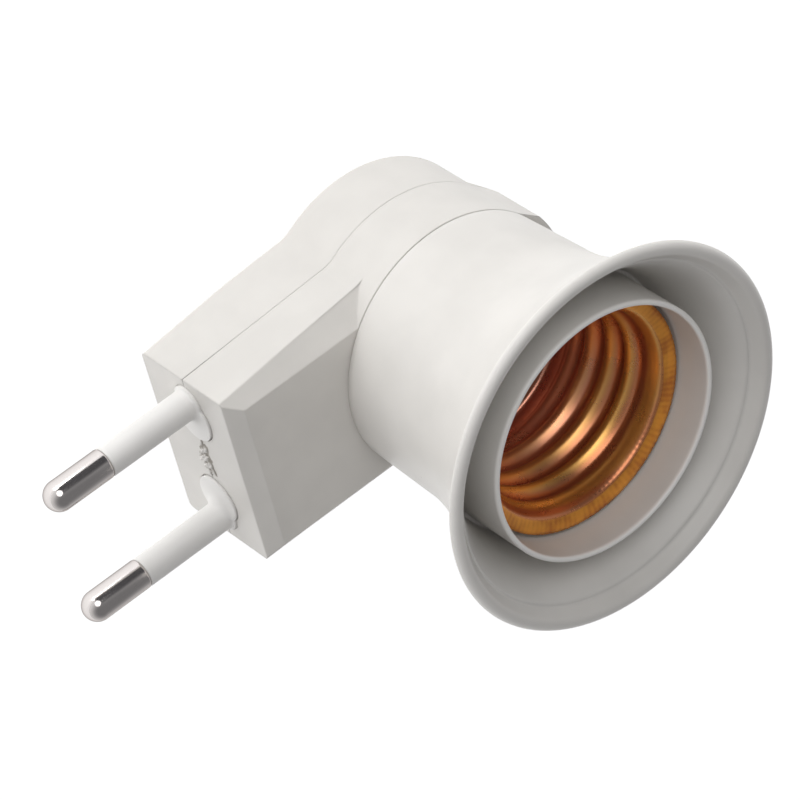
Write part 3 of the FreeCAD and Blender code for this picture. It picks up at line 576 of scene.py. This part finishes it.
def sleeve(name, side, columns=96):
    """Sleeve, hollow, flange, neck and lock, and back through the bore.

    In the hollow the radius falls from the flange's edge to the sleeve while the height
    rises evenly by the cone and, near the sleeve, as a power of the share covered.
    """
    angle = np.linspace(0, 2 * np.pi, columns, endpoint=False)[None, :]
    edge = np.maximum(disc_edge(FLANGE_RADIUS, FLANGE_OFFSET, angle), NECK_RADIUS)
    lock = np.maximum(disc_edge(LOCK_RADIUS, LOCK_OFFSET, angle), CORE_RADIUS + SHOULDER)
    share = (np.linspace(0, 1, 26)[1:, None]) ** 1.5
    bend = np.linspace(0, np.pi / 2, 4)[1:, None]
    level = np.ones_like(angle)
    top = edge - FLANGE_EDGE
    radius = [
        CORE_RADIUS * level, (PIN_RADIUS - SHOULDER / 2) * level,
        (PIN_RADIUS - SHOULDER / 6) * level,
        PIN_RADIUS * level, PIN_RADIUS * level,
        PIN_RADIUS + (top - PIN_RADIUS) * share, top + FLANGE_EDGE * np.sin(bend), edge,
        NECK_RADIUS * level, NECK_RADIUS * level, lock, lock, CORE_RADIUS * level]
    height = [
        [[SLEEVE_END]], [[SLEEVE_END]], [[SLEEVE_END - SHOULDER / 8]],
        [[SLEEVE_END - SHOULDER / 2]], [[FLANGE_TOP + HOLLOW_HEIGHT + CONE_RISE]],
        FLANGE_TOP + HOLLOW_HEIGHT * (1 - share) ** HOLLOW_POWER + CONE_RISE * (1 - share),
        FLANGE_TOP + FLANGE_EDGE * (np.cos(bend) - 1), [[FLANGE_BACK]],
        [[FLANGE_BACK]], [[NECK_BACK]], [[NECK_BACK]], [[LOCK_BACK]], [[LOCK_BACK]]]
    return about_pin(name, side, np.vstack(radius), np.vstack([np.array(h) for h in height]))


for hand, side in (("left", -1), ("right", 1)):
    turned_pin = pin(hand + "_pin_turned", side)
    moulded_sleeve = sleeve(hand + "_sleeve_moulded", side)
    dress(turned_pin, hand + "_pin", "holder", plating)
    dress(moulded_sleeve, hand + "_sleeve", "holder", sleeve_plastic)

# %% [markdown]
# ## The gate mark
# Where the plastic ran into the mould, between the two flanges, it was broken off and
# left a small rough ridge along the parting line. Its height is made of short waves of
# unrelated lengths, which multiply into separate lumps, faded out at its border.

# %% A rough little ridge
MARK_HALF_LENGTH = 2.6 * MM
MARK_HALF_WIDTH = 1.15 * MM
MARK_HEIGHT = 0.55 * MM
# Painted shade for the pits of the gate mark, against a paler grey for its crests.
PIT_SHADE_BROWN = (0.36, 0.33, 0.29, 1)
CREST_GREY = (0.82, 0.80, 0.77, 1)
END_FACE = front_high.y


def gate_mark():
    """Flat-bottomed lump on the end face; waves give its height, and a fade its outline."""
    ring = np.linspace(0, 2 * np.pi, 160, endpoint=False)[None, :]
    out = np.linspace(0, 1, 30)[:, None]
    wander = 1 + 0.2 * np.sin(3 * ring + 0.6) + 0.16 * np.sin(8 * ring + 2.0)
    wander = wander + 0.08 * np.sin(17 * ring)
    across = MARK_HALF_LENGTH * out * np.cos(ring) * wander
    up = MARK_HALF_WIDTH * out * np.sin(ring) * wander
    lumps = np.sin(3600 * across + 1500 * up + 0.7) * np.sin(4300 * up - 1300 * across + 1.1)
    grit = np.sin(9300 * across - 6100 * up) * np.sin(8100 * up + 3300 * across + 2.0)
    height = MARK_HEIGHT * np.clip(0.35 + 0.55 * lumps + 0.3 * grit, 0.02, 1) * (1 - out**4)
    top = np.stack([across, END_FACE + height, up], -1)
    base = top[::-1] * [1, 0, 1] + [0, END_FACE - MARK_HEIGHT, 0]
    return surface("gate_mark", np.concatenate([top, base]))


def torn_plastic():
    """Plastic that is dull, darker in the pits as painted shade and paler on the crests, by its
    height over the end face.
    """
    finish = Finish("torn plastic")
    high = finish.along("Y").ease(END_FACE, END_FACE + 0.5 * MARK_HEIGHT)
    tone = finish.mix(high, PIT_SHADE_BROWN, CREST_GREY)
    fine = finish.noise(0.2 * MM, 4.0, 0.6)
    return finish.close(Base_Color=tone, Roughness=0.6, Normal=finish.bump(fine, 0.03 * MM))


mark = gate_mark()
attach(mark, "holder")
mark.data.materials.append(torn_plastic())

# %% [markdown]
# ## The screw shell
# The shell is a sleeve of sheet brass with a rolled thread. Its wall is a circle whose
# radius rises and falls along the axis with the pitch, shifted by the turn angle, which
# makes the wave a helix. The wave fades in and out at both ends, the foot turns inwards
# under the insulating puck, and the lip flares out over the shoulder of the barrel with
# small crimps from the roller.

# %% The shell's wall
PITCH = 3.63 * MM
TURNS = 4.0
THREAD_OUTER = 13.35 * MM
THREAD_DEPTH = 1.05 * MM
SHEET = 0.4 * MM
shell_low, shell_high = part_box("screw_shell")
FOOT_BEND = 0.9 * MM
FOOT_RADIUS = 7.4 * MM
THREAD_LOW = FLOOR + 2.4 * MM
THREAD_HIGH = THREAD_LOW + PITCH * TURNS
CRIMPS = 120
CRIMP_DEPTH = 0.06 * MM
NECK_SHARE = 0.3
LIP_POWER = 12
SHELL_LIP = (shell_high.x - shell_low.x) / 2


def shell_side(out, columns=460):
    """One side of the sheet, moved out by out metres: foot, bend, threaded wall and lip.

    Rows give a plain radius and height; the thread is added as depth times the cosine of
    the height in pitches less the angle, times a fade that is 0 at both ends, and the
    crimps as a cosine of the angle times how far the lip has opened, deeper in some
    places than in others. The lip opens as a square and a high power of its share.
    """
    foot = shell_low.z + SHEET - out
    bend_centre = (THREAD_OUTER - FOOT_BEND, foot + FOOT_BEND + out)
    bend = np.linspace(-np.pi / 2, 0, 8)[:, None]
    rise = np.linspace(0, 1, 58)[:, None]
    open_up = (np.linspace(0, 1, 26)[1:, None]) ** 0.6
    opening = NECK_SHARE * open_up**2 + (1 - NECK_SHARE) * open_up**LIP_POWER
    wall = THREAD_OUTER + out
    rows = np.vstack([
        np.hstack([np.linspace(FOOT_RADIUS, bend_centre[0], 4)[:-1, None], np.full((3, 1), foot)]),
        np.hstack([bend_centre[0] + (FOOT_BEND + out) * np.cos(bend),
                   bend_centre[1] + (FOOT_BEND + out) * np.sin(bend)]),
        np.hstack([np.full_like(rise, wall), THREAD_LOW + (THREAD_HIGH - THREAD_LOW) * rise]),
        np.hstack([wall + (SHELL_LIP - wall) * opening,
                   THREAD_HIGH + (shell_high.z - THREAD_HIGH) * open_up - out * open_up])])
    radius, height = rows[:, :1], rows[:, 1:]
    angle = np.linspace(0, 2 * np.pi, columns, endpoint=False)[None, :]
    turn = (height - THREAD_LOW) / PITCH
    fade = np.clip(np.minimum(turn, TURNS - turn) / 0.5, 0, 1)
    wave = np.cos(2 * np.pi * height / PITCH - angle)
    radius = radius - THREAD_DEPTH * fade * (1 - wave) / 2
    lip_share = np.clip((height - THREAD_HIGH) / (shell_high.z - THREAD_HIGH), 0, 1)
    uneven = 0.6 + 0.25 * np.sin(2 * angle + 0.8) + 0.15 * np.sin(7 * angle)
    radius = radius - CRIMP_DEPTH * lip_share**2 * uneven * (1 + np.cos(CRIMPS * angle)) / 2
    return np.stack([LAMP_AXIS.x + radius * np.cos(angle), LAMP_AXIS.y + radius * np.sin(angle),
                     np.broadcast_to(height, radius.shape)], -1)


shell = surface("shell", np.concatenate([shell_side(0.0), shell_side(SHEET)[::-1]]))

# %% [markdown]
# ## Colours of the shell
# The same helix that shapes the wall colours it: the ridges that face the lamp are
# rubbed to a gold, the grooves between them have stayed a dark red brown, and the whole
# wall turns to a pale coppery brown towards its foot, as painted light for the deep end
# that the lamps hardly reach. The crimped lip is orange gold, worn darker in patches,
# with painted shade along its crimps.

# %% Shell brass
LIP_BAND = 0.5 * MM
RIDGE_GOLD = (0.84, 0.46, 0.13, 1)
GROOVE_BROWN = (0.60, 0.23, 0.11, 1)
FOOT_COPPER_PAINTED_LIGHT = (1.0, 0.47, 0.32, 1)
LIP_GOLD = (1.0, 0.42, 0.06, 1)
LIP_DARK = (0.60, 0.20, 0.04, 1)


def shell_brass():
    """Brass whose colour follows the helix, the depth and the crimps of the shell."""
    finish = Finish("shell brass")
    z = finish.along("Z")
    turn = (finish.along("Y") - LAMP_AXIS.y).math("ARCTAN2", finish.along("X") - LAMP_AXIS.x)
    ridge = 0.5 - 0.5 * (z * (2 * math.pi / PITCH) - turn).math("COSINE")
    slow = finish.noise(3.5 * MM, 3.0)
    streak = finish.noise(1.2 * MM, 3.0, 0.6)
    fine = finish.noise(0.22 * MM, 3.0, 0.6)
    rubbed = (ridge + 0.5 * (slow - 0.5)).ease(0.15, 0.9)
    tone = finish.mix(rubbed, GROOVE_BROWN, RIDGE_GOLD)
    # Painted light: deep in the shell the colour turns to a paler copper that stands in for light
    # that hardly reaches there.
    depth = (z - SEAM).ease(3 * MM, 17 * MM)
    tone = finish.mix(depth, FOOT_COPPER_PAINTED_LIGHT, tone)
    lip = z.ease(shell_high.z - LIP_BAND, shell_high.z - 0.6 * LIP_BAND)
    crimp = 0.5 + 0.5 * (turn * CRIMPS).math("COSINE")
    # Worn darker in random patches, and a little darker along every crimp as painted shade.
    wear_and_crimp_shade = (0.16 * crimp + 0.5 * streak + 1.6 * slow - 0.75).ease(0.1, 0.8)
    tone = finish.mix(lip, tone, finish.mix(wear_and_crimp_shade, LIP_GOLD, LIP_DARK))
    gloss = 0.3 - 0.12 * lip + 0.2 * (slow - 0.5) + 0.1 * (fine - 0.5)
    return finish.close(
        Base_Color=tone, Metallic=0.85 - 0.35 * lip, Roughness=gloss, Coat_Weight=0.1 * ridge,
        Coat_Roughness=0.2, Normal=finish.bump(fine, 0.003 * MM))


dress(shell, "screw_shell", "holder", shell_brass())

# %% [markdown]
# ## The nodes that stay as they are
# Rivets, screws, wires, the rocker and the inner pieces keep their solids, whose own
# normals already shade curves smoothly and keep edges sharp. Each gets only a finish of
# its own kind.

# %% Finishes for the carried-over nodes
puck_board = plastic("puck board", (0.42, 0.18, 0.11), 0.6, speck_share=0.2, grain=0.02 * MM)
wire_brown = plastic("brown wire cover", (0.16, 0.07, 0.035), 0.4, speck_share=0.0)
wire_blue = plastic("blue wire cover", (0.03, 0.09, 0.28), 0.4, speck_share=0.0)
finishes = {
    "rocker": rocker_plastic, "switch_case": case_plastic,
    "rocker_pin": zinc_steel, "contact_puck": puck_board, "centre_contact": spring_brass,
    "centre_rivet": rivet_metal, "shell_rivet": rivet_metal, "centre_tag": spring_brass,
    "shell_tag": spring_brass, "left_terminal": spring_brass, "right_terminal": spring_brass,
    "switch_contact": spring_brass, "block_screw": zinc_steel, "left_body_screw": zinc_steel,
    "right_body_screw": zinc_steel, "live_wire": wire_brown, "switched_wire": wire_brown,
    "neutral_wire": wire_blue}
for node, material in finishes.items():
    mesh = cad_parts[node].data
    mesh.materials.clear()
    mesh.materials.append(material)
print(len(finishes), "nodes dressed")

# %% [markdown]
# ## Floor, light and camera
# The holder is shown on plain white. The floor lies well below, so that only the
# faintest shade reaches it, and it glows a little, as a light table does. A broad key
# lamp stands above the holder and a weaker fill lamp in front of it. The surroundings
# are bright, but they dim along the lamp axis, which leaves the mouth in soft shade,
# and hold one dark spot, because bright metal only looks like metal when it has
# something dark to mirror.

# %% Floor
FLOOR_DROP = 0.16
FLOOR_HALF = 3.0
FLOOR_GLOW = 0.72
floor_z = front_low.z - FLOOR_DROP
corners = [(right * FLOOR_HALF, back * FLOOR_HALF, floor_z)
           for right, back in ((-1, -1), (1, -1), (1, 1), (-1, 1))]
floor_mesh = bpy.data.meshes.new("floor")
floor_mesh.from_pydata(corners, [], [(0, 1, 2, 3)])
floor = bpy.data.objects.new("floor", floor_mesh)
bpy.context.scene.collection.objects.link(floor)
white = Finish("white floor")
floor_mesh.materials.append(white.close(
    Base_Color=(0.9, 0.9, 0.9, 1), Roughness=0.9, Emission_Color=(1, 1, 1, 1),
    Emission_Strength=FLOOR_GLOW))
print("floor at z", round(floor_z, 4))

# %% Camera
IMAGE_RIGHT = Vector((-0.2004, -0.7453, 0.6359))
IMAGE_UP = Vector((0.7264, -0.5486, -0.4140))
TO_CAMERA = Vector((0.6574, 0.3790, 0.6513))
IMAGE_SIDE = 800
FOCAL_PIXELS = 4776.1
SEAM_PIXEL = (455.97, 338.22)
DISTANCE = 584.26 * MM

per_pixel = DISTANCE / FOCAL_PIXELS
seam_centre = Vector((LAMP_AXIS.x, LAMP_AXIS.y, SEAM))
eye = (seam_centre + DISTANCE * TO_CAMERA
       - (SEAM_PIXEL[0] - IMAGE_SIDE / 2) * per_pixel * IMAGE_RIGHT
       + (SEAM_PIXEL[1] - IMAGE_SIDE / 2) * per_pixel * IMAGE_UP)
camera_data = bpy.data.cameras.new("camera")
camera_data.sensor_width = 36.0
camera_data.lens = FOCAL_PIXELS / IMAGE_SIDE * camera_data.sensor_width
camera_data.clip_start = 0.01
camera_data.clip_end = 20
camera = bpy.data.objects.new("camera", camera_data)
turn = Matrix((IMAGE_RIGHT, IMAGE_UP, TO_CAMERA)).transposed().to_4x4()
camera.matrix_world = Matrix.Translation(eye) @ turn
bpy.context.scene.collection.objects.link(camera)
bpy.context.scene.camera = camera
print("lens", round(camera_data.lens, 1), "mm at", round(DISTANCE, 4), "m")

# %% Surroundings
DIM_SIDE = Vector((-0.15, 0.05, 0.99)).normalized()
DARK_SPOT = Vector((0.87, -0.38, 0.30)).normalized()
BRIGHT = (0.86, 0.86, 0.865, 1)
DIM = (0.2, 0.2, 0.205, 1)
DARK = (0.08, 0.08, 0.085, 1)
world = bpy.data.worlds.new("studio")
bpy.context.scene.world = world
studio = Network(world)
direction = studio.add("TexCoord", output="Generated")


def facing(way):
    """How far a direction of the surroundings agrees with this one, from -1 to 1."""
    return studio.add(
        "VectorMath", {"operation": "DOT_PRODUCT"}, {0: direction, 1: way}, output="Value")


glow = studio.mix(facing(DIM_SIDE).ease(-0.1, 0.9), BRIGHT, DIM)
glow = studio.mix(facing(DARK_SPOT).ease(0.75, 0.95), glow, DARK)
light = studio.add("Background", None, {"Color": glow, "Strength": 1.0})
studio.add("OutputWorld", None, {"Surface": light}, output=None)


# %% Key and fill lamps
LAMP_DISTANCE = 0.7
KEY_SIDE = 0.85 * IMAGE_UP - 0.45 * IMAGE_RIGHT + 0.45 * TO_CAMERA
FILL_SIDE = Vector((0.80, 0.20, 0.57))


def lamp(name, side, size, power):
    """Round area lamp that stands off the seam on one side and points back at it."""
    data = bpy.data.lights.new(name, "AREA")
    data.shape = "DISK"
    data.size = size
    data.energy = power
    made = bpy.data.objects.new(name, data)
    place = seam_centre + side.normalized() * LAMP_DISTANCE
    aim = side.to_track_quat("Z", "Y").to_matrix().to_4x4()
    made.matrix_world = Matrix.Translation(place) @ aim
    bpy.context.scene.collection.objects.link(made)
    print(name, "lamp,", power, "W")


lamp("key", KEY_SIDE, 0.55, 3.1)
lamp("fill", FILL_SIDE, 0.5, 1.2)
bpy.context.scene.view_settings.view_transform = "Standard"
